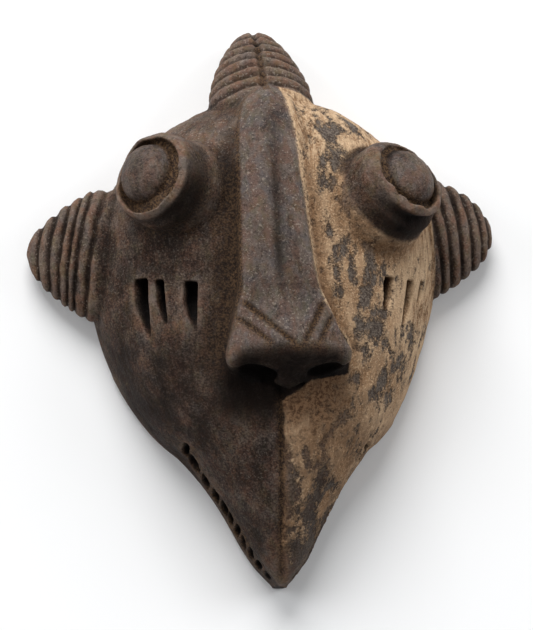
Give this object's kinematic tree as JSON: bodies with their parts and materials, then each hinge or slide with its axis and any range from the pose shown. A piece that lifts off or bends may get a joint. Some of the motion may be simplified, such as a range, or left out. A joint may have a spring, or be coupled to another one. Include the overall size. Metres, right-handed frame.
{
  "type": "miniature mask",
  "caption": "Miniature carved mask: drop-shaped face with a toothed beak, long nose, eyes on stalks, notched cheeks and ribbed horns, hollowed behind, lying on its back.",
  "frame": {"origin": "on the floor the mask lies on, under the middle of its bounding box", "axes": "+Z out of the face, +Y towards the horn on the forehead, +X towards the half with the pale pigment"},
  "size_m": [0.1024, 0.1224, 0.037],
  "materials": {
    "carved_wood": "dark worn patina on one half, worn pale pigment on the other, dull to faintly glossy"
  },
  "bodies": {
    "root": {"mask": "carved_wood"}
  },
  "joints": []
}
